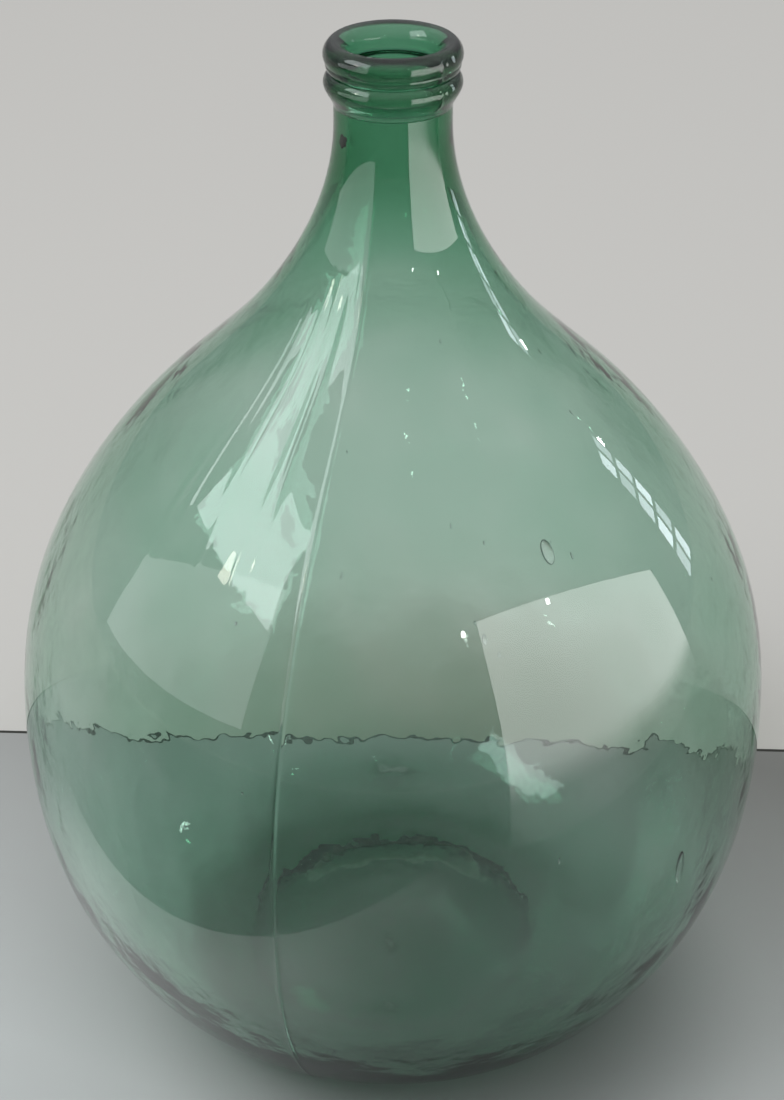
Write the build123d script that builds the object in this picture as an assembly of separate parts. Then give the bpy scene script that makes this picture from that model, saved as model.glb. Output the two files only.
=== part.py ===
"""A 54 litre glass carboy (demijohn): an onion-shaped blown bottle with a double ring finish.

The vessel stands on Z = 0 with its axis on +Z. Sizes are in millimetres. Three glass pieces are
modelled where the glassmaker joined them hot: the blown shell, and the lip ring and the collar
ring that were laid on round the end of its neck.
"""

import os
from math import sqrt

from build123d import *

# --- driving dimensions -------------------------------------------------------------------------
HEIGHT = 630.0  # floor to the crest of the lip
BODY_RADIUS = 230.6  # widest outer radius
BODY_RADIUS_AT = 208.0  # height of the widest section
NECK_RADIUS = 32.4  # outside of the straight part of the neck
BORE_RADIUS = 24.5  # inside of the neck and mouth
BORE_DEPTH = 46.0  # straight bore, from the lip's inner edge down

FOOT_OUTER = 110.0  # bearing ring that the vessel stands on
FOOT_INNER = 95.0
PUSH_UP = 32.0  # height of the dome pushed up into the base
PUSH_UP_SIDE = (50.0, 20.5)  # radius and height of a point half-way up the dome

RING_RADIUS = 37.7  # outside of both finish rings
GROOVE_RADIUS = 34.6  # bottom of the groove between them
LIP_HALF_HEIGHT = 8.5  # lip ring, crest to its widest line
LIP_CREASE = 617.8  # height of the fine crease round the lip ring
LIP_CREASE_RADIUS = 36.6
RING_JOINT = 613.0  # height where the two rings meet
COLLAR_WIDEST = 607.4  # height of the collar ring's widest line
COLLAR_SHOULDER = (1.1, 3.2)  # a point of its upper side: in from the widest line, and above it
COLLAR_UNDERSIDE = (1.4, 5.0)  # a point of its underside: in from the widest line, and below it
COLLAR_FILLET = (0.9, 10.2)  # a point of its fillet: out from the neck, and below the widest line
COLLAR_FOOT = 594.5  # where the underside of the collar ring runs out on the neck

# Glass thickness, from the thick base through the thin belly to the heavy neck.
BASE_WALL = 7.0
HEEL_WALL = 4.8
LOW_BELLY_WALL = 2.8
BELLY_WALL = 2.0
SHOULDER_WALL = 2.0
HIGH_SHOULDER_WALL = 2.4
LOW_NECK_WALL = 3.6
NECK_ROOT_WALL = 5.8

# --- worked out from them -----------------------------------------------------------------------
LIP_WIDEST = HEIGHT - LIP_HALF_HEIGHT
LIP_MID_RADIUS = (BORE_RADIUS + RING_RADIUS) / 2
LIP_HALF_WIDTH = (RING_RADIUS - BORE_RADIUS) / 2
BORE_BOTTOM = LIP_WIDEST - BORE_DEPTH
NECK_BOTTOM = BORE_BOTTOM + 10.0
BASE_CORNER = FOOT_OUTER - 6.0  # radius of the lowest ring of the inside

# Outside of the body: (height, radius), from just above the foot to the root of the neck.
BODY_OUTLINE = [
    (7.5, 136.0),
    (23.0, 161.0),
    (52.0, 186.5),
    (101.0, 212.9),
    (BODY_RADIUS_AT, BODY_RADIUS),
    (290.0, 219.2),
    (353.0, 189.2),
    (416.0, 138.7),
    (466.0, 87.0),
    (504.0, 58.3),
    (542.0, 40.1),
]

# Share of the way up the outside, and the wall there.
WALL_STATIONS = [
    (0.07, HEEL_WALL),
    (0.15, LOW_BELLY_WALL),
    (0.25, BELLY_WALL),
    (0.37, BELLY_WALL),
    (0.49, BELLY_WALL),
    (0.61, SHOULDER_WALL),
    (0.73, HIGH_SHOULDER_WALL),
    (0.84, LOW_NECK_WALL),
    (0.92, NECK_ROOT_WALL),
]


def at(radius, height):
    """A point of the half section."""
    return (radius, 0, height)


def curve(points, start, end):
    """A smooth line through the points that leaves and arrives along the given directions."""
    return Spline(*points, tangents=[start, end], tangent_scalars=[1, 1])


def lip_height_at(radius):
    """Height of the lip's rounded top at a radius."""
    across = (radius - LIP_MID_RADIUS) / LIP_HALF_WIDTH
    return LIP_WIDEST + LIP_HALF_HEIGHT * sqrt(1 - across * across)


def lip_slope_at(radius):
    """Direction of the lip's rounded top at a radius, heading outwards."""
    across = (radius - LIP_MID_RADIUS) / LIP_HALF_WIDTH
    fall = LIP_HALF_HEIGHT * across / (LIP_HALF_WIDTH * sqrt(1 - across * across))
    return (1, 0, -fall)


def outside_line():
    """The outside of the body, from the foot up to the straight neck."""
    points = [at(FOOT_OUTER, 0)]
    points += [at(radius, height) for height, radius in BODY_OUTLINE]
    points.append(at(NECK_RADIUS, NECK_BOTTOM))
    return curve(points, (1, 0, 0), (0, 0, 1))


def inside_line(outside):
    """The inside of the body, from the lowest ring of the floor up to the bore."""
    points = [at(BASE_CORNER, BASE_WALL)]
    for share, wall in WALL_STATIONS:
        spot = outside @ share
        along = outside % share
        points.append(at(spot.X - along.Z * wall, spot.Z + along.X * wall))
    points.append(at(BORE_RADIUS, BORE_BOTTOM))
    return curve(points, (1, 0, 0), (0, 0, 1))


def glass_shell():
    """The blown shell: pushed-up base, belly, shoulder and neck, in one wall."""
    outside = outside_line()
    inside = inside_line(outside)
    side_radius, side_height = PUSH_UP_SIDE
    under_points = [at(FOOT_INNER, 0), at(side_radius, side_height), at(0, PUSH_UP)]
    under = curve(under_points, (-1, 0, 0.5), (-1, 0, 0))
    floor_side = at(side_radius + 2.0, side_height - 1.0 + BASE_WALL)
    floor_points = [inside @ 0, floor_side, at(0, PUSH_UP + BASE_WALL)]
    floor = curve(floor_points, (-1, 0, 0), (-1, 0, 0))
    lip_top = at(NECK_RADIUS, lip_height_at(NECK_RADIUS))
    bore_edge = at(BORE_RADIUS, LIP_WIDEST)
    shoulder = at(BORE_RADIUS + 1.8, lip_height_at(BORE_RADIUS + 1.8))
    crest_points = [bore_edge, shoulder, at(LIP_MID_RADIUS, HEIGHT), lip_top]
    crest = curve(crest_points, (0, 0, 1), lip_slope_at(NECK_RADIUS))
    outline = [
        Line(at(FOOT_OUTER, 0), at(FOOT_INNER, 0)),
        under,
        Line(at(0, PUSH_UP), at(0, PUSH_UP + BASE_WALL)),
        floor,
        inside,
        Line(at(BORE_RADIUS, BORE_BOTTOM), bore_edge),
        crest,
        Line(lip_top, at(NECK_RADIUS, NECK_BOTTOM)),
        outside,
    ]
    return revolve(make_face(Wire(outline)), Axis.Z)


def lip_ring():
    """The upper ring of the finish, laid on round the mouth."""
    top = at(NECK_RADIUS, lip_height_at(NECK_RADIUS))
    shoulder = at(RING_RADIUS - 1.6, lip_height_at(RING_RADIUS - 1.6))
    crease = at(LIP_CREASE_RADIUS, LIP_CREASE)
    groove = at(GROOVE_RADIUS, RING_JOINT)
    bead_points = [top, shoulder, at(RING_RADIUS, LIP_WIDEST), crease]
    skirt_points = [crease, at(LIP_CREASE_RADIUS - 0.2, LIP_CREASE - 2.2), groove]
    outline = [
        Line(at(NECK_RADIUS, RING_JOINT), top),
        curve(bead_points, lip_slope_at(NECK_RADIUS), (-0.5, 0, -1)),
        curve(skirt_points, (0.3, 0, -1), (-1, 0, -0.35)),
        Line(groove, at(NECK_RADIUS, RING_JOINT)),
    ]
    return revolve(make_face(Wire(outline)), Axis.Z)


def collar_ring():
    """The lower ring of the finish, under the lip ring."""
    groove = at(GROOVE_RADIUS, RING_JOINT)
    foot = at(NECK_RADIUS, COLLAR_FOOT)
    upper_side = at(RING_RADIUS - COLLAR_SHOULDER[0], COLLAR_WIDEST + COLLAR_SHOULDER[1])
    widest = at(RING_RADIUS, COLLAR_WIDEST)
    under_side = at(RING_RADIUS - COLLAR_UNDERSIDE[0], COLLAR_WIDEST - COLLAR_UNDERSIDE[1])
    fillet = at(NECK_RADIUS + COLLAR_FILLET[0], COLLAR_WIDEST - COLLAR_FILLET[1])
    bead_points = [groove, upper_side, widest, under_side, fillet, foot]
    outline = [
        Line(foot, at(NECK_RADIUS, RING_JOINT)),
        Line(at(NECK_RADIUS, RING_JOINT), groove),
        curve(bead_points, (1, 0, -0.45), (-0.2, 0, -1)),
    ]
    return revolve(make_face(Wire(outline)), Axis.Z)


def main():
    os.makedirs("parts", exist_ok=True)
    for name, made in (
        ("glass_shell", glass_shell()),
        ("lip_ring", lip_ring()),
        ("collar_ring", collar_ring()),
    ):
        export_step(made, f"parts/{name}.step")


main()
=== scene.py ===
"""The looks of an old green glass carboy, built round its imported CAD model.

Every length is in metres, with +Z up and the vessel standing on Z = 0. The glass pieces are lathed from
the CAD's own half sections, and then get what such a vessel has: two mould seams, wrinkles, walls that are
not quite even, blisters and seeds. Angles and bearings run from -Y towards +X.
"""

import math

import bpy
import numpy as np
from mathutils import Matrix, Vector


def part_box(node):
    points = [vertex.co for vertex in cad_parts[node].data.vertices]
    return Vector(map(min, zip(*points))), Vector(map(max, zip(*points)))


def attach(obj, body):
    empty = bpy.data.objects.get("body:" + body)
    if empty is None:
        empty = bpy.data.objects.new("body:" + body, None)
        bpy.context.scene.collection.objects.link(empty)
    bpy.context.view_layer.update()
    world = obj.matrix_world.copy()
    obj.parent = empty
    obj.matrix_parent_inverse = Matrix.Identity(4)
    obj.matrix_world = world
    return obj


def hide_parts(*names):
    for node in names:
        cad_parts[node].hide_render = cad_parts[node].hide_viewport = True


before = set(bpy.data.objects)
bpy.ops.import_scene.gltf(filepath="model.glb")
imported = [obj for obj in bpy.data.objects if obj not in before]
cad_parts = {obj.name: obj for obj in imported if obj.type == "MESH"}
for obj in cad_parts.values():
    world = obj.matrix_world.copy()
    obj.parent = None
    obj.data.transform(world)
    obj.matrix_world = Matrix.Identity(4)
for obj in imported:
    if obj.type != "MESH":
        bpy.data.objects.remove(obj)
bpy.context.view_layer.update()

# --- the vessel, from the frame -------------------------------------------------------------------
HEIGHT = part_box("glass_shell")[1].z
COLLAR_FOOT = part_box("collar_ring")[0].z
COLLAR_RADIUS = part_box("collar_ring")[1].x
ON_AXIS = 1e-6  # a radius under this is a point of the axis

# --- the glass ------------------------------------------------------------------------------------
GLASS_IOR = 1.5
ABSORBED_PER_METRE = (162.0, 72.0, 113.0)  # red, green and blue lost along each metre of glass
COLUMNS = 210  # mesh columns round the vessel
WRINKLE_COLUMNS = 68  # the closer columns of the wrinkled stretch
SEAM_COLUMNS = (-1.1, -0.6, -0.36, -0.2, -0.09, 0, 0.09, 0.2, 0.36, 0.6, 1.1)  # degrees from a seam
ROW_STEP = 0.007
FINE_ROW_STEP = 0.0012  # on the mouth, and on the rings
FINE_ROWS_ABOVE = COLLAR_FOOT - 0.03
CRISP_STEP = 0.00015  # the rows next to a corner, which keep it crisp
JOINT_DEPTH = 0.0003  # how far the rings are sunk into the neck, so that light passes the joint

# The mould seams. The second is opposite the first, and fainter.
SEAM_AT = math.radians(-16.4)
SEAM_HEIGHT = 0.0004
SEAM_HALF_WIDTH = 0.0010
SECOND_SEAM = 0.35  # share of the first one's height
FINISH_SEAM_AT = math.radians(43.0)  # seam of the tool that shaped the rings
FINISH_SEAM_HEIGHT = 0.0004
FINISH_SEAM_TAPER = 0.7  # share of a ring's depth over which its seam grows to full height
FINISH_SEAM_WANDER = ((0.02, 900, 0.0), (0.012, 2300, 1.0))  # swing, turns with height and start, in radians
PLAIN_STRIP = 0.0015  # the part of a ring next to the neck that has no seam

# How far the walls lean in and out of true, as slopes.
OUTER_WAVE_SLOPE = 0.003
INNER_WAVE_SLOPE = 0.018
SWELL_SLOPE = 0.010  # slow change of the thickness round the vessel
RIPPLE_SLOPE = 0.020  # the inner wall's finest unevenness
RIPPLE_SIZE = 0.019
UNEVEN_BELOW = COLLAR_FOOT - 0.004  # the walls are true from here up
UNEVEN_FADE = 0.03
POLE_FADE = 0.02  # radius round the axis in which the unevenness dies out
FLAT_FOOT = 0.001  # height of the foot that stays flat
FOOT_FADE = 0.006
UNMARKED_FOOT = 0.0015  # the seams and wrinkles end above this height

# Wrinkles where the hot glass first met the mould, on the shoulder beside the first seam.
WRINKLES = 22
WRINKLES_FROM = math.radians(-52)
WRINKLES_TO = math.radians(-21)
WRINKLE_TOP = 0.83 * HEIGHT
WRINKLE_BOTTOM = 0.60 * HEIGHT

# Blisters: angle in degrees, height, and half sizes across, up and through the wall.
BLISTERS = [
    (31.4, 0.3941, 0.0036, 0.0072, 0.0006),
    (45.6, 0.1965, 0.0036, 0.0120, 0.0006),
    (15.4, 0.3643, 0.0012, 0.0030, 0.0004),
    (17.5, 0.3567, 0.0009, 0.0016, 0.0004),
    (14.2, 0.3720, 0.0008, 0.0012, 0.0003),
]
SEEDS = 46
SEED_HEIGHTS = (0.10, 0.52)  # where on the vessel
SEED_SIZES = (0.0003, 0.0008)  # half width
SEED_STRETCH = (1.2, 3.5)  # height over width
STONE = (-57.0, 0.5790, 0.0034, 0.0036, 0.0010)  # the same for the dark stone in the neck
STONE_COVER = 0.0004  # glass over the stone
STONE_GRAIN = 0.0012
STONE_LUMPS = (0.002, -0.45, 0.30)  # wave height for a whole lump, and the most taken off and added

# --- the stage ------------------------------------------------------------------------------------
BACKDROP_REACH = 30.0
BACKDROP_LEVEL = -0.002
BACKDROP_PALE = (0.55, 0.525, 0.50, 1)
BACKDROP_SHADED = (0.28, 0.265, 0.215, 1)
BACKDROP_SHADE_AT = (0.03, 0.24, BACKDROP_LEVEL)
BACKDROP_SHADE = (0.0, 0.36)  # from full shade to none, away from that place

FLOOR_LEVEL = -0.0003
FLOOR_REACH = 12.0
FLOOR_FRONT = -14.0
FLOOR_BACK = 0.217
FLOOR_BACK_TURN = math.radians(-2.3)
# A dark strip along the floor's back edge is painted shade, as in a gap there.
FLOOR_EDGE_LEVEL = -0.001
FLOOR_EDGE_HALF_WIDTH = 0.004
# Painted light and shade on the floor: a lit band just in front of the vessel, painted shade before and
# behind it.
FLOOR_PAINTED_LIGHTING = (  # share of the way from front to back, and colour
    (0.0, (0.26, 0.26, 0.26, 1)),
    (0.58, (0.53, 0.53, 0.525, 1)),
    (1.0, (0.21, 0.205, 0.195, 1)),
)
FLOOR_PAINTED_LIGHTING_FROM = -0.9  # Y of the first tone and of the last, on the axis
FLOOR_PAINTED_LIGHTING_TO = 0.3
FLOOR_PAINTED_LIGHTING_LEAN = 0.42  # how far the tones move forward for each metre to the right
CONTACT_SHADE_AT = (0.04, -0.07, 0.0)
CONTACT_SHADE = (0.08, 0.22)  # from full shade to none, away from that place
CONTACT_SHADE_DEPTH = 0.48  # share of the floor's colour that is left

# --- the lights -----------------------------------------------------------------------------------
SKY_COLOUR = (0.95, 0.985, 1.0, 1)
SKY_RISE = (0.10, 0.80)  # the sky brightens between these heights of its unit sphere
SKY_STRENGTH = (0.35, 1.15)

# Strength along a side of a light, as (share of the way, strength).
EVEN = ((0.0, 1.0), (1.0, 1.0))
PANEL_UP = ((0.0, 0.05), (0.18, 0.12), (0.42, 1.0), (1.0, 1.0))
GLOW_ALONG = ((0.0, 0.0), (0.26, 0.0), (0.40, 1.0), (0.50, 1.0), (0.66, 0.50), (0.80, 0.15), (0.90, 0.0))
GLOW_ACROSS = ((0.0, 0.0), (0.15, 0.0), (0.80, 1.0), (1.0, 1.0))

# The floor glow: its outer edge passes through a place, along a direction, with the rest inside it.
GLOW_PLACE = Vector((-0.53, 0.03, 0.001))
GLOW_WAY = Vector((0.635, -0.772, 0.0))
GLOW_INWARD = Vector((0.772, 0.635, 0.0))
GLOW_LENGTH = 2.0
GLOW_WIDTH = 0.27
GLOW_MIDDLE = 0.45  # from the place to the middle of the glow
GLOW_RADIANCE = 0.75

# The far window's panes.
PANE_ROWS = 5
PANE_LOWEST = 0.36
PANE_PITCH = 0.175
PANE_HEIGHT = 0.14
PANE_COLUMNS = ((0.0, 0.10), (0.13, 0.21))  # the two sides of each column

# Small lamps: bearing and rise in degrees.
LAMPS = ((16, 63), (68, 53), (57, 29), (25, 32), (117, 22))
LAMP_AWAY = 2.0
LAMP_LEVEL = 0.35  # height of the point that the lamps look at
LAMP_RADIUS = 0.022
LAMP_RADIANCE = 60

# --- the view -------------------------------------------------------------------------------------
CAMERA_DISTANCE = 1.7256 * HEIGHT
CAMERA_HEIGHT = 1.5681 * HEIGHT
CAMERA_OFF_CENTRE = -0.0006
CAMERA_PITCH = 31.92  # degrees below level
CAMERA_LENS = 68.73  # millimetres
CAMERA_SENSOR = 36


# --- half sections --------------------------------------------------------------------------------
def half_section(node):
    """The corners of a CAD node's half section, in order, as (radius, height) pairs.

    The shell's runs from the axis under the base, up the outside and down the inside to the axis again.
    A ring's closes on itself.
    """
    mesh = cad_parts[node].data
    links = {}
    for edge in mesh.edges:
        ends = [mesh.vertices[i].co for i in edge.vertices]
        if any(abs(p.y) > ON_AXIS or p.x < -ON_AXIS for p in ends):
            continue
        a, b = [(round(p.x, 6), round(p.z, 6)) for p in ends]
        if a != b:
            links.setdefault(a, set()).add(b)
            links.setdefault(b, set()).add(a)
    open_ends = [p for p, others in links.items() if len(others) == 1]
    start = min(open_ends, key=lambda p: p[1]) if open_ends else max(links, key=lambda p: p[1])
    walk = [start]
    last = None
    while len(walk) <= len(links):
        ahead = sorted((p for p in links[walk[-1]] if p != last), key=lambda p: -p[0])
        if not ahead or ahead[0] == start:
            break
        last = walk[-1]
        walk.append(ahead[0])
    if not open_ends:
        walk.append(start)
    return np.array(walk)


def split_at_corners(points, bend=math.radians(14)):
    """The runs of a line between its real corners."""
    steps = np.diff(points, axis=0)
    ways = np.arctan2(steps[:, 1], steps[:, 0])
    turns = np.abs((np.diff(ways) + math.pi) % (2 * math.pi) - math.pi)
    corners = [0] + [k + 1 for k in range(len(turns)) if turns[k] > bend] + [len(points) - 1]
    return [points[a : b + 1] for a, b in zip(corners[:-1], corners[1:])]


def with_straight_runs_filled(points, step=0.002):
    """The same line with more points on its level and upright parts, which keep a curve straight there."""
    filled = [points[0]]
    for a, b in zip(points[:-1], points[1:]):
        straight = np.min(np.abs(b - a)) < 1e-6
        count = max(1, int(np.linalg.norm(b - a) / step)) if straight else 1
        filled += [a + (b - a) * k / count for k in range(1, count + 1)]
    return np.array(filled)


def smooth_curve(points, step):
    """Points about a step apart along the natural cubic curve through the given ones.

    One more point stands close to each end, which keeps the corner there crisp.
    """
    points = with_straight_runs_filled(points)
    spans = np.linalg.norm(np.diff(points, axis=0), axis=1)
    along = np.concatenate([[0], np.cumsum(spans)])
    size = len(points)
    matrix = np.eye(size)
    target = np.zeros((size, 2))
    for k in range(1, size - 1):
        matrix[k, k - 1 : k + 2] = spans[k - 1], 2 * (spans[k - 1] + spans[k]), spans[k]
        before = (points[k] - points[k - 1]) / spans[k - 1]
        after = (points[k + 1] - points[k]) / spans[k]
        target[k] = 6 * (after - before)
    bend = np.linalg.solve(matrix, target)
    where = np.linspace(0, along[-1], max(2, round(along[-1] / step)) + 1)
    crisp = min(CRISP_STEP, 0.1 * along[-1])
    where = np.sort(np.concatenate([where, [crisp, along[-1] - crisp]]))
    k = np.clip(np.searchsorted(along, where) - 1, 0, size - 2)
    a = ((along[k + 1] - where) / spans[k])[:, None]
    b = 1 - a
    pull = (a**3 - a) * bend[k] + (b**3 - b) * bend[k + 1]
    return a * points[k] + b * points[k + 1] + pull * spans[k][:, None] ** 2 / 6


def joined(runs):
    """One line from several that follow on."""
    return np.vstack([runs[0]] + [run[1:] for run in runs[1:]])


# --- uneven walls ---------------------------------------------------------------------------------
class Waves:
    """A smooth random height over space, as a sum of plane waves, with a stated typical slope."""

    def __init__(self, seed, shortest, longest, slope, count=26, upright=2.2):
        rng = np.random.default_rng(seed)
        way = rng.normal(size=(count, 3)) * (1, 1, 1 / upright)
        way /= np.linalg.norm(way, axis=1)[:, None]
        length = np.exp(rng.uniform(math.log(shortest), math.log(longest), count))
        self.wave = way * 2 * math.pi / length[:, None]
        self.phase = rng.uniform(0, 2 * math.pi, count)
        self.height = slope * math.sqrt(2 / count) * length / (2 * math.pi)

    def at(self, points):
        return np.sin(points @ self.wave.T + self.phase) @ self.height


def off_seam(angles, seam):
    """Angles from a seam, between half a turn back and half a turn on."""
    return (angles - seam + math.pi) % (2 * math.pi) - math.pi


def seam_ridge(angles, radii, seams):
    """Height of the fine ridges that the mould left, one up each side."""
    rise = np.zeros(np.broadcast(angles, radii).shape)
    for seam, tall in zip(seams, (SEAM_HEIGHT, SECOND_SEAM * SEAM_HEIGHT)):
        rise += tall * np.exp(-((off_seam(angles, seam) * radii / SEAM_HALF_WIDTH) ** 2))
    return rise


def wrinkle_ridges(angles, radius, height):
    """Height of the fine wrinkles that run up and down the shoulder."""
    rng = np.random.default_rng(5)
    rise = np.zeros(len(angles))
    for _ in range(WRINKLES):
        middle = rng.uniform(WRINKLES_FROM, WRINKLES_TO)
        top = WRINKLE_TOP - rng.uniform(0, 0.05)
        bottom = WRINKLE_BOTTOM + rng.uniform(-0.03, 0.06)
        lean = rng.uniform(-0.25, 0.25)
        tall = rng.uniform(0.0001, 0.00035)
        wide = rng.uniform(0.0009, 0.0018)
        fade = np.clip((top - height) / 0.03, 0, 1) * np.clip((height - bottom) / 0.05, 0, 1)
        if fade > 0:
            off = (angles - middle - lean * (height - bottom)) * radius
            rise += tall * fade * np.exp(-((off / wide) ** 2))
    return rise


def ring_of_columns(seams=(), wrinkled=False):
    """Angles of the mesh columns, closer together along each seam and the wrinkles."""
    angles = list(np.linspace(-math.pi, math.pi, COLUMNS, endpoint=False))
    gap = 2 * math.pi / COLUMNS
    if wrinkled:
        angles = [a for a in angles if not WRINKLES_FROM < a < WRINKLES_TO]
        angles += list(np.linspace(WRINKLES_FROM, WRINKLES_TO, WRINKLE_COLUMNS))
    for seam in seams:
        angles = [a for a in angles if abs(off_seam(a, seam)) > gap * 0.75]
        angles += [seam + math.radians(degrees) for degrees in SEAM_COLUMNS]
    return np.array(sorted((a + math.pi) % (2 * math.pi) - math.pi for a in angles))


# --- meshes ---------------------------------------------------------------------------------------
def lathed(line, angles, raised):
    """Vertices and faces of a line turned round Z. Its ends are poles where they lie on the axis."""
    vertices = []
    rows = []
    for k, (radius, height) in enumerate(line):
        if radius < ON_AXIS:
            rows.append([len(vertices)])
            vertices.append((0.0, 0.0, height))
            continue
        rows.append(list(range(len(vertices), len(vertices) + len(angles))))
        lift_out, lift_up = raised(k, angles)
        r = radius + lift_out
        vertices += list(zip(r * np.sin(angles), -r * np.cos(angles), height + lift_up))
    faces = []
    count = len(angles)
    pairs = list(zip(rows[:-1], rows[1:]))
    if len(rows[0]) > 1:
        pairs.append((rows[-1], rows[0]))
    for low, high in pairs:
        for j in range(count):
            n = (j + 1) % count
            if len(low) == 1:
                faces.append((low[0], high[n], high[j]))
            elif len(high) == 1:
                faces.append((low[j], low[n], high[0]))
            else:
                faces.append((low[j], low[n], high[n], high[j]))
    return vertices, faces


def add_void(vertices, faces, centre, out, size, rings=8, around=16):
    """Adds a closed bubble in the glass: an ellipsoid whose faces look inwards, into the empty side."""
    up = np.array((0.0, 0.0, 1.0))
    up = up - out * np.dot(up, out)
    up /= np.linalg.norm(up)
    side = np.cross(up, out)
    base = len(vertices)
    wide, tall, deep = size
    vertices.append(tuple(centre + up * tall))
    for i in range(1, rings):
        polar = math.pi * i / rings
        for j in range(around):
            turn = 2 * math.pi * j / around
            across = side * wide * math.cos(turn) + out * deep * math.sin(turn)
            vertices.append(tuple(centre + up * tall * math.cos(polar) + across * math.sin(polar)))
    vertices.append(tuple(centre - up * tall))
    end = len(vertices) - 1
    for j in range(around):
        n = (j + 1) % around
        faces.append((base, base + 1 + n, base + 1 + j))
        for i in range(rings - 2):
            a = base + 1 + i * around
            b = a + around
            faces.append((a + j, a + n, b + n, b + j))
        last = base + 1 + (rings - 2) * around
        faces.append((last + j, last + n, end))


def smooth_object(name, vertices, faces, material):
    """A smoothly shaded mesh object of the vessel."""
    mesh = bpy.data.meshes.new(name)
    mesh.from_pydata(vertices, [], faces)
    mesh.validate()
    mesh.polygons.foreach_set("use_smooth", [True] * len(mesh.polygons))
    mesh.materials.append(material)
    mesh.update()
    piece = bpy.data.objects.new(name, mesh)
    bpy.context.scene.collection.objects.link(piece)
    return piece


# --- the glass pieces -----------------------------------------------------------------------------
def outward(line):
    """Unit normals of a half section, to the right of its direction of travel."""
    way = np.gradient(line, axis=0)
    way /= np.linalg.norm(way, axis=1)[:, None]
    return np.stack([way[:, 1], -way[:, 0]], axis=1)


def make_shell(material):
    """The blown shell, with its unevenness and marks. An attribute marks the points of its inner wall."""
    seams = (SEAM_AT, SEAM_AT + math.pi)
    angles = ring_of_columns(seams, wrinkled=True)
    runs = []
    for run in split_at_corners(half_section("glass_shell")):
        fine = run[:, 1].min() > FINE_ROWS_ABOVE and len(run) > 2
        runs.append(smooth_curve(run, FINE_ROW_STEP if fine else ROW_STEP))
    line = joined(runs)
    normals = outward(line)
    crest = int(np.argmax(line[:, 1]))  # the outside comes before it, and the inside after
    outer = Waves(11, 0.05, 0.16, OUTER_WAVE_SLOPE)
    inner = Waves(12, 0.018, 0.07, INNER_WAVE_SLOPE)
    swell = Waves(13, 0.12, 0.35, SWELL_SLOPE, 12, 1.0)

    def raised(k, angles):
        radius, height = line[k]
        heights = np.full(len(angles), height)
        places = np.stack([radius * np.sin(angles), -radius * np.cos(angles), heights], 1)
        body = np.clip((UNEVEN_BELOW - height) / UNEVEN_FADE, 0, 1)
        off_axis = min(1.0, radius / POLE_FADE)
        standing = np.clip((height - FLAT_FOOT) / FOOT_FADE, 0, 1) if k < crest else 1.0
        uneven = outer.at(places) if k < crest else inner.at(places) + swell.at(places)
        wave = uneven * body * off_axis * standing
        if k < crest and radius > COLLAR_RADIUS * 0.5 and height > UNMARKED_FOOT:
            wave = wave + seam_ridge(angles, radius, seams) * body
            wave = wave + wrinkle_ridges(angles, radius, height)
        return wave * normals[k][0], wave * normals[k][1]

    vertices, faces = lathed(line, angles, raised)
    outside_points = sum(1 if radius < ON_AXIS else len(angles) for radius, _ in line[:crest])
    lathe_points = len(vertices)
    add_blisters(vertices, faces, line[:crest], line[crest:])
    shell = smooth_object("blown_shell", vertices, faces, material)
    inner_wall = shell.data.attributes.new("inner_wall", "FLOAT", "POINT")
    on_inner_wall = [float(outside_points < k < lathe_points) for k in range(len(vertices))]
    inner_wall.data.foreach_set("value", on_inner_wall)
    return shell


def radius_at(wall, height):
    """Radius of one side of the wall at a height, where the side is a line from the base to the mouth."""
    order = np.argsort(wall[:, 1])
    return float(np.interp(height, wall[order, 1], wall[order, 0]))


def add_blisters(vertices, faces, outside, inside):
    """Adds the blisters and seeds, half-way through the wall of the belly and shoulder."""
    rng = np.random.default_rng(21)
    spots = list(BLISTERS)
    while len(spots) < len(BLISTERS) + SEEDS:
        height = rng.uniform(*SEED_HEIGHTS)
        small = rng.uniform(*SEED_SIZES)
        degrees = rng.uniform(-180, 180)
        spots.append((degrees, height, small, small * rng.uniform(*SEED_STRETCH), small * 0.6))
    outside = outside[outside[:, 0] > 0.6 * COLLAR_RADIUS][1:]
    near = 0.004
    for degrees, height, wide, tall, deep in spots:
        turn = math.radians(degrees)
        below = radius_at(outside, height - near)
        above = radius_at(outside, height + near)
        steep = math.atan2(below - above, 2 * near)
        middle = radius_at(outside, height)
        wall = (middle - radius_at(inside, height)) * math.cos(steep)
        level = np.array((math.sin(turn), -math.cos(turn), 0.0))
        upright = np.array((0.0, 0.0, 1.0))
        way = level * math.cos(steep) + upright * math.sin(steep)
        centre = level * middle + upright * height - way * wall * 0.5
        add_void(vertices, faces, centre, way, (wide, tall, min(deep, wall * 0.3)))


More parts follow.
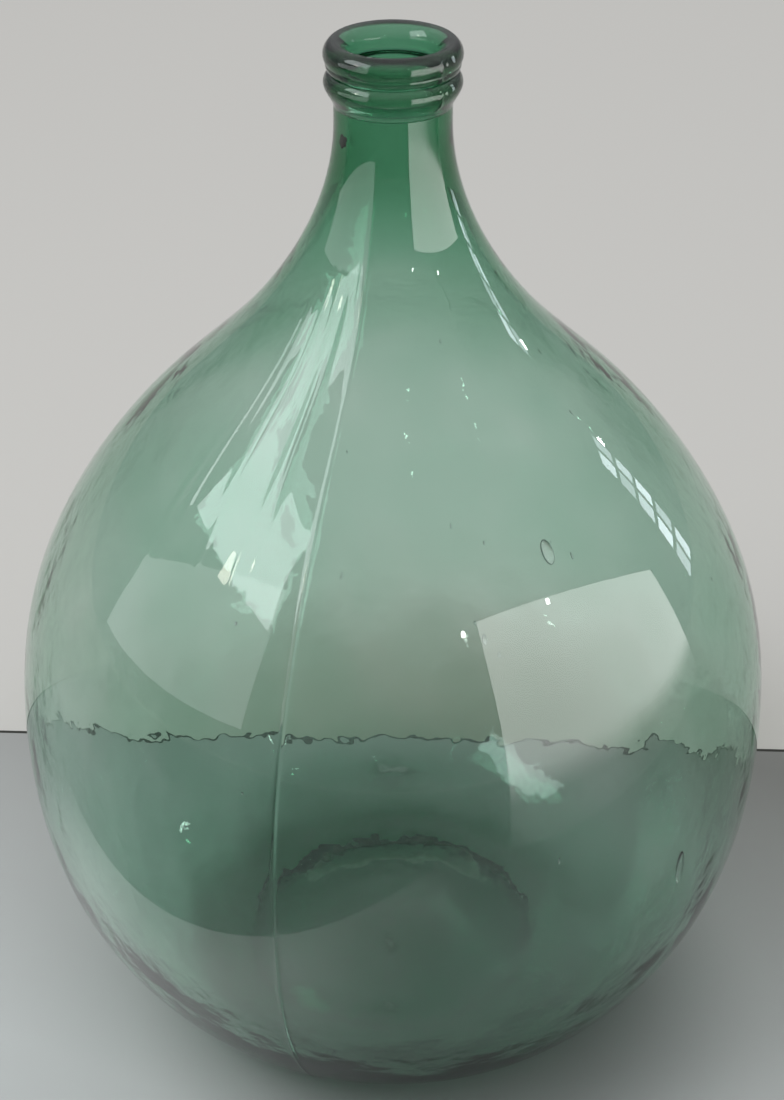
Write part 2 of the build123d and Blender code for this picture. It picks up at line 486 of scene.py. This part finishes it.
def make_ring(name, node, material, low_end, high_end):
    """A ring of the finish, with its inner wall sunk a little into the neck.

    The two ends of that wall are moved by low_end and high_end, so that no two surfaces lie together.
    """
    line = half_section(node)
    neck = line[:, 0].min()
    runs = [smooth_curve(run, FINE_ROW_STEP) for run in split_at_corners(line)]
    line = joined(runs)[:-1]
    after = np.roll(line, -1, axis=0)
    if np.sum(line[:, 0] * after[:, 1] - after[:, 0] * line[:, 1]) < 0:
        line = line[::-1]
    on_neck = line[:, 0] < neck + 1e-5
    sunk = line.copy()
    sunk[on_neck, 0] -= JOINT_DEPTH
    low, high = sunk[on_neck, 1].min(), sunk[on_neck, 1].max()
    share = (sunk[on_neck, 1] - low) / (high - low)
    sunk[on_neck, 1] = (low + low_end) * (1 - share) + (high + high_end) * share
    seams = (FINISH_SEAM_AT, FINISH_SEAM_AT + math.pi)
    normals = outward(sunk)
    widest = sunk[:, 0].max()

    def raised(k, angles):
        radius, height = sunk[k]
        if radius < neck + PLAIN_STRIP:
            return 0.0, 0.0 * angles
        wander = sum(swing * math.sin(height * turns + start) for swing, turns, start in FINISH_SEAM_WANDER)
        tall = FINISH_SEAM_HEIGHT * min(1.0, (radius - neck) / (FINISH_SEAM_TAPER * (widest - neck)))
        rise = seam_ridge(angles - wander, radius, seams) * tall / SEAM_HEIGHT
        return rise * normals[k][0], rise * normals[k][1]

    vertices, faces = lathed(sunk, ring_of_columns(seams), raised)
    return smooth_object(name, vertices, faces, material)


def make_stone(material):
    """A dark unmelted stone in the glass of the neck, just under its outside."""
    degrees, height, wide, tall, deep = STONE
    turn = math.radians(degrees)
    out = np.array((math.sin(turn), -math.cos(turn), 0.0))
    vertices, faces = [], []
    neck = min(half_section("collar_ring")[:, 0])
    centre = out * (neck - deep - STONE_COVER) + (0, 0, height)
    add_void(vertices, faces, centre, out, (wide, tall, deep))
    lumps = Waves(31, 0.003, 0.008, 0.6, 10, 1.0)
    place = np.array(vertices)
    middle = place.mean(axis=0)
    off = place - middle
    flat = off - np.outer(off @ out, out)
    whole, least, most = STONE_LUMPS
    place = middle + off + flat * np.clip(lumps.at(place) / whole, least, most)[:, None]
    faces = [face[::-1] for face in faces]
    return smooth_object("neck_stone", [tuple(v) for v in place], faces, material)


# --- materials ------------------------------------------------------------------------------------
def new_material(name, colour, roughness):
    """A material and its shader."""
    material = bpy.data.materials.new(name)
    material.use_nodes = True
    shader = material.node_tree.nodes["Principled BSDF"]
    shader.inputs["Base Color"].default_value = colour
    shader.inputs["Roughness"].default_value = roughness
    return material, shader


def matte(name, colour, roughness):
    """A material with no gloss, and its shader."""
    material, shader = new_material(name, colour, roughness)
    shader.inputs["Specular IOR Level"].default_value = 0.0
    return material, shader


def set_ramp(ramp, stops):
    """Give a colour ramp its stops, as (place, colour) in order."""
    ends = ramp.color_ramp.elements
    for end, (place, colour) in zip((ends[0], ends[1]), (stops[0], stops[-1])):
        end.position = place
        end.color = colour
    for place, colour in stops[1:-1]:
        ends.new(place).color = colour


def away_from(tree, centre, span, low=0.0):
    """A value that rises smoothly from low to 1 over a span of distance from a centre."""
    place = tree.nodes.new("ShaderNodeTexCoord")
    away = tree.nodes.new("ShaderNodeVectorMath")
    away.operation = "DISTANCE"
    away.inputs[1].default_value = centre
    tree.links.new(place.outputs["Object"], away.inputs[0])
    fade = tree.nodes.new("ShaderNodeMapRange")
    fade.interpolation_type = "SMOOTHSTEP"
    fade.inputs["From Min"].default_value, fade.inputs["From Max"].default_value = span
    fade.inputs["To Min"].default_value = low
    tree.links.new(away.outputs["Value"], fade.inputs["Value"])
    return fade.outputs["Result"]


def noise(tree, size, detail):
    """A noise texture fixed to the object, with features about a size across."""
    place = tree.nodes.new("ShaderNodeTexCoord")
    texture = tree.nodes.new("ShaderNodeTexNoise")
    texture.inputs["Scale"].default_value = 1 / size
    texture.inputs["Detail"].default_value = detail
    tree.links.new(place.outputs["Object"], texture.inputs["Vector"])
    return texture.outputs["Fac"]


def add_bump(tree, shader, height, distance):
    """Roughens a shader's surface by a height that reaches up to a distance."""
    bump = tree.nodes.new("ShaderNodeBump")
    bump.inputs["Distance"].default_value = distance
    tree.links.new(height, bump.inputs["Height"])
    tree.links.new(bump.outputs["Normal"], shader.inputs["Normal"])
    return bump


def green_glass():
    """Clear glass that is green by its depth. Its inner wall has fine ripples."""
    material, shader = new_material("green_bottle_glass", (1, 1, 1, 1), 0.0)
    tree = material.node_tree
    shader.inputs["IOR"].default_value = GLASS_IOR
    shader.inputs["Transmission Weight"].default_value = 1.0
    absorb = tree.nodes.new("ShaderNodeVolumeAbsorption")
    most = max(ABSORBED_PER_METRE)
    absorb.inputs["Density"].default_value = most
    absorb.inputs["Color"].default_value = [1 - a / most for a in ABSORBED_PER_METRE] + [1]
    tree.links.new(absorb.outputs["Volume"], tree.nodes["Material Output"].inputs["Volume"])
    inner_wall = tree.nodes.new("ShaderNodeAttribute")
    inner_wall.attribute_name = "inner_wall"
    bump = add_bump(tree, shader, noise(tree, RIPPLE_SIZE, 2.0), RIPPLE_SLOPE * RIPPLE_SIZE)
    tree.links.new(inner_wall.outputs["Fac"], bump.inputs["Strength"])
    return material


def mottled_stone():
    """A dark stone, mottled and a little rough."""
    material, shader = matte("dark_stone", (0.012, 0.022, 0.016, 1), 0.5)
    tree = material.node_tree
    speckle = noise(tree, STONE_GRAIN, 3.0)
    ramp = tree.nodes.new("ShaderNodeValToRGB")
    set_ramp(ramp, ((0.35, (0.006, 0.012, 0.009, 1)), (0.70, (0.032, 0.048, 0.038, 1))))
    tree.links.new(speckle, ramp.inputs["Fac"])
    tree.links.new(ramp.outputs["Color"], shader.inputs["Base Color"])
    add_bump(tree, shader, speckle, 0.0002)
    return material


def shaded_backdrop():
    """The pale backdrop, a little darker just behind the vessel."""
    material, shader = matte("pale_backdrop", BACKDROP_PALE, 0.7)
    tree = material.node_tree
    ramp = tree.nodes.new("ShaderNodeValToRGB")
    set_ramp(ramp, ((0.0, BACKDROP_SHADED), (1.0, BACKDROP_PALE)))
    tree.links.new(away_from(tree, BACKDROP_SHADE_AT, BACKDROP_SHADE), ramp.inputs["Fac"])
    tree.links.new(ramp.outputs["Color"], shader.inputs["Base Color"])
    return material


def shaded_floor():
    """A grey floor: painted light just in front of the vessel, painted shade farther off and close under it.
    """
    material, shader = matte("grey_floor_painted_light_and_shade", (0.3, 0.3, 0.3, 1), 0.6)
    tree = material.node_tree
    place = tree.nodes.new("ShaderNodeTexCoord")
    axes = tree.nodes.new("ShaderNodeSeparateXYZ")
    tree.links.new(place.outputs["Object"], axes.inputs["Vector"])
    lean = tree.nodes.new("ShaderNodeMath")
    lean.operation = "MULTIPLY_ADD"
    lean.inputs[1].default_value = FLOOR_PAINTED_LIGHTING_LEAN
    tree.links.new(axes.outputs["X"], lean.inputs[0])
    tree.links.new(axes.outputs["Y"], lean.inputs[2])
    back = tree.nodes.new("ShaderNodeMapRange")
    back.inputs["From Min"].default_value = FLOOR_PAINTED_LIGHTING_FROM
    back.inputs["From Max"].default_value = FLOOR_PAINTED_LIGHTING_TO
    tree.links.new(lean.outputs["Value"], back.inputs["Value"])
    # the floor's painted pool of light and painted shade, from front to back
    ramp = tree.nodes.new("ShaderNodeValToRGB")
    set_ramp(ramp, FLOOR_PAINTED_LIGHTING)
    tree.links.new(back.outputs["Result"], ramp.inputs["Fac"])
    shaded = tree.nodes.new("ShaderNodeVectorMath")
    shaded.operation = "SCALE"
    contact = away_from(tree, CONTACT_SHADE_AT, CONTACT_SHADE, CONTACT_SHADE_DEPTH)
    tree.links.new(ramp.outputs["Color"], shaded.inputs[0])
    tree.links.new(contact, shaded.inputs["Scale"])
    tree.links.new(shaded.outputs["Vector"], shader.inputs["Base Color"])
    return material


# --- stage, lights and camera ---------------------------------------------------------------------
def make_sheet(name, corners, level, material):
    """A flat sheet of the stage."""
    mesh = bpy.data.meshes.new(name)
    mesh.from_pydata([(x, y, level) for x, y in corners], [], [tuple(range(len(corners)))])
    mesh.materials.append(material)
    sheet = bpy.data.objects.new(name, mesh)
    bpy.context.scene.collection.objects.link(sheet)


def make_stage():
    """A pale backdrop, and on it a grey floor whose back edge is turned a little and has a painted-shade
    line.
    """
    wide = BACKDROP_REACH
    whole = [(-wide, -wide), (wide, -wide), (wide, wide), (-wide, wide)]
    make_sheet("backdrop", whole, BACKDROP_LEVEL, shaded_backdrop())
    reach = FLOOR_REACH
    fall = reach * math.tan(FLOOR_BACK_TURN)
    left, right = FLOOR_BACK - fall, FLOOR_BACK + fall
    ground = [(-reach, FLOOR_FRONT), (reach, FLOOR_FRONT), (reach, right), (-reach, left)]
    make_sheet("floor", ground, FLOOR_LEVEL, shaded_floor())
    gap = FLOOR_EDGE_HALF_WIDTH
    strip = [(-reach, left - gap), (reach, right - gap), (reach, right + gap), (-reach, left + gap)]
    # the dark strip is painted shade along the floor's back edge
    dark, _ = matte("floor_edge_painted_shade", (0.05, 0.05, 0.045, 1), 0.7)
    make_sheet("floor_edge_painted_shade", strip, FLOOR_EDGE_LEVEL, dark)


def area_light(name, shape, sides, radiance, colour=(1, 1, 1)):
    """An area light of a stated radiance that the camera doesn't see, and its object."""
    light = bpy.data.lights.new(name, "AREA")
    light.shape = shape
    light.size = sides[0]
    area = math.pi * (sides[0] / 2) ** 2
    if shape == "RECTANGLE":
        light.size_y = sides[1]
        area = sides[0] * sides[1]
    light.energy = radiance * math.pi * area
    light.color = colour
    holder = bpy.data.objects.new(name, light)
    holder.visible_camera = False
    bpy.context.scene.collection.objects.link(holder)
    return light, holder


def shaded_light(light, across, up):
    """Vary a light's strength over its surface, by stops along its two sides."""
    light.use_nodes = True
    nodes = light.node_tree.nodes
    links = light.node_tree.links
    place = nodes.new("ShaderNodeNewGeometry")
    sides = nodes.new("ShaderNodeSeparateXYZ")
    links.new(place.outputs["Parametric"], sides.inputs["Vector"])
    product = nodes.new("ShaderNodeMath")
    product.operation = "MULTIPLY"
    links.new(product.outputs["Value"], nodes["Emission"].inputs["Strength"])
    for k, stops in enumerate((across, up)):
        ramp = nodes.new("ShaderNodeValToRGB")
        ramp.color_ramp.interpolation = "EASE"
        set_ramp(ramp, [(share, (strength, strength, strength, 1)) for share, strength in stops])
        links.new(sides.outputs[k], ramp.inputs["Fac"])
        links.new(ramp.outputs["Color"], product.inputs[k])


def make_panel(name, facing, away, span, low, high, radiance, colour, only_reflected=True):
    """An upright light panel. It faces the vessel along one bearing and reaches over a span beside it.

    The span is measured from the bearing's foot. A panel that is only reflected doesn't light the scene.
    """
    turn = math.radians(facing)
    ahead = Vector((math.sin(turn), -math.cos(turn), 0))
    beside = Vector((math.cos(turn), math.sin(turn), 0))
    light, panel = area_light(name, "RECTANGLE", (span[1] - span[0], high - low), radiance, colour)
    panel.location = ahead * away + beside * (sum(span) / 2) + Vector((0, 0, (low + high) / 2))
    panel.rotation_euler = (-ahead).to_track_quat("-Z", "Y").to_euler()
    panel.visible_transmission = not only_reflected
    panel.visible_diffuse = not only_reflected
    return light


def make_floor_glow():
    """A glow that lies flat before the vessel's left side, and is only seen in its outer surface."""
    light, glow = area_light("floor_glow", "RECTANGLE", (GLOW_LENGTH, GLOW_WIDTH), GLOW_RADIANCE)
    glow.location = GLOW_PLACE + GLOW_WAY * GLOW_MIDDLE + GLOW_INWARD * (GLOW_WIDTH / 2)
    glow.rotation_euler = (math.pi, 0, math.atan2(GLOW_WAY.y, GLOW_WAY.x))
    glow.visible_diffuse = False
    glow.visible_transmission = False
    shaded_light(light, GLOW_ALONG, GLOW_ACROSS)


def make_lamp(name, bearing, rise):
    """A small round lamp that is only seen as a glint in the glass."""
    turn, lift = math.radians(bearing), math.radians(rise)
    way = Vector((math.cos(lift) * math.sin(turn), -math.cos(lift) * math.cos(turn), math.sin(lift)))
    _, lamp = area_light(name, "DISK", (2 * LAMP_RADIUS,), LAMP_RADIANCE)
    lamp.location = Vector((0, 0, LAMP_LEVEL)) + way * LAMP_AWAY
    lamp.rotation_euler = (-way).to_track_quat("-Z", "Y").to_euler()
    lamp.visible_diffuse = False


def make_sky():
    """A soft grey room, brighter overhead."""
    world = bpy.data.worlds.new("soft_room")
    world.use_nodes = True
    nodes = world.node_tree.nodes
    links = world.node_tree.links
    way = nodes.new("ShaderNodeTexCoord")
    parts = nodes.new("ShaderNodeSeparateXYZ")
    links.new(way.outputs["Generated"], parts.inputs["Vector"])
    rise = nodes.new("ShaderNodeMapRange")
    rise.interpolation_type = "SMOOTHSTEP"
    rise.inputs["From Min"].default_value, rise.inputs["From Max"].default_value = SKY_RISE
    rise.inputs["To Min"].default_value, rise.inputs["To Max"].default_value = SKY_STRENGTH
    links.new(parts.outputs["Z"], rise.inputs["Value"])
    sky = nodes["Background"]
    sky.inputs["Color"].default_value = SKY_COLOUR
    links.new(rise.outputs["Result"], sky.inputs["Strength"])
    bpy.context.scene.world = world


def make_light():
    """The sky, one high window that lights the scene, and what is only seen in the glass."""
    make_sky()
    tall = make_panel("right_panel", 28.5, 0.85, (0.0, 2.2), 0.0, 0.86, 4.4, (1.0, 0.99, 0.97))
    shaded_light(tall, EVEN, PANEL_UP)
    make_panel("left_panel", -29.0, 0.85, (-2.2, -0.16), 0.42, 0.95, 1.7, (0.97, 0.99, 1.0))
    make_panel("high_left_window", -71, 1.63, (-0.62, 0.85), 1.33, 2.40, 4.4, (0.93, 0.98, 1.0), False)
    make_floor_glow()
    make_panel("warm_lamp", -66, 1.8, (-0.09, 0.09), 1.34, 1.58, 9.0, (1.0, 0.93, 0.80))
    for column, sides in enumerate(PANE_COLUMNS):
        for row in range(PANE_ROWS):
            low = PANE_LOWEST + PANE_PITCH * row
            radiance = 4.0 + 2.0 * ((row * 2 + column) % 3)
            name = f"pane_{column}_{row}"
            make_panel(name, 110, 1.9, sides, low, low + PANE_HEIGHT, radiance, (0.84, 0.91, 1.0))
    for k, (bearing, rise) in enumerate(LAMPS):
        make_lamp(f"lamp_{k}", bearing, rise)


def make_camera():
    """A camera in front of the vessel that looks down at it."""
    camera = bpy.data.objects.new("camera", bpy.data.cameras.new("camera"))
    camera.data.lens = CAMERA_LENS
    camera.data.sensor_width = CAMERA_SENSOR
    camera.location = (CAMERA_OFF_CENTRE, -CAMERA_DISTANCE, CAMERA_HEIGHT)
    camera.rotation_euler = (math.radians(90 - CAMERA_PITCH), 0, 0)
    bpy.context.scene.collection.objects.link(camera)
    bpy.context.scene.camera = camera


def main():
    scene = bpy.context.scene
    scene.view_settings.view_transform = "Standard"
    scene.cycles.max_bounces = 32
    scene.cycles.transmission_bounces = 32
    scene.cycles.glossy_bounces = 12
    scene.cycles.transparent_max_bounces = 16
    glass = green_glass()
    shell = make_shell(glass)
    lip = make_ring("lip_bead", "lip_ring", glass, -JOINT_DEPTH, -JOINT_DEPTH)
    collar = make_ring("collar_bead", "collar_ring", glass, 1.5 * JOINT_DEPTH, 0.0)
    stone = make_stone(mottled_stone())
    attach(stone, "root")
    for piece, node in ((shell, "glass_shell"), (lip, "lip_ring"), (collar, "collar_ring")):
        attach(piece, "root")
        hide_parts(node)
    make_stage()
    make_light()
    make_camera()


main()
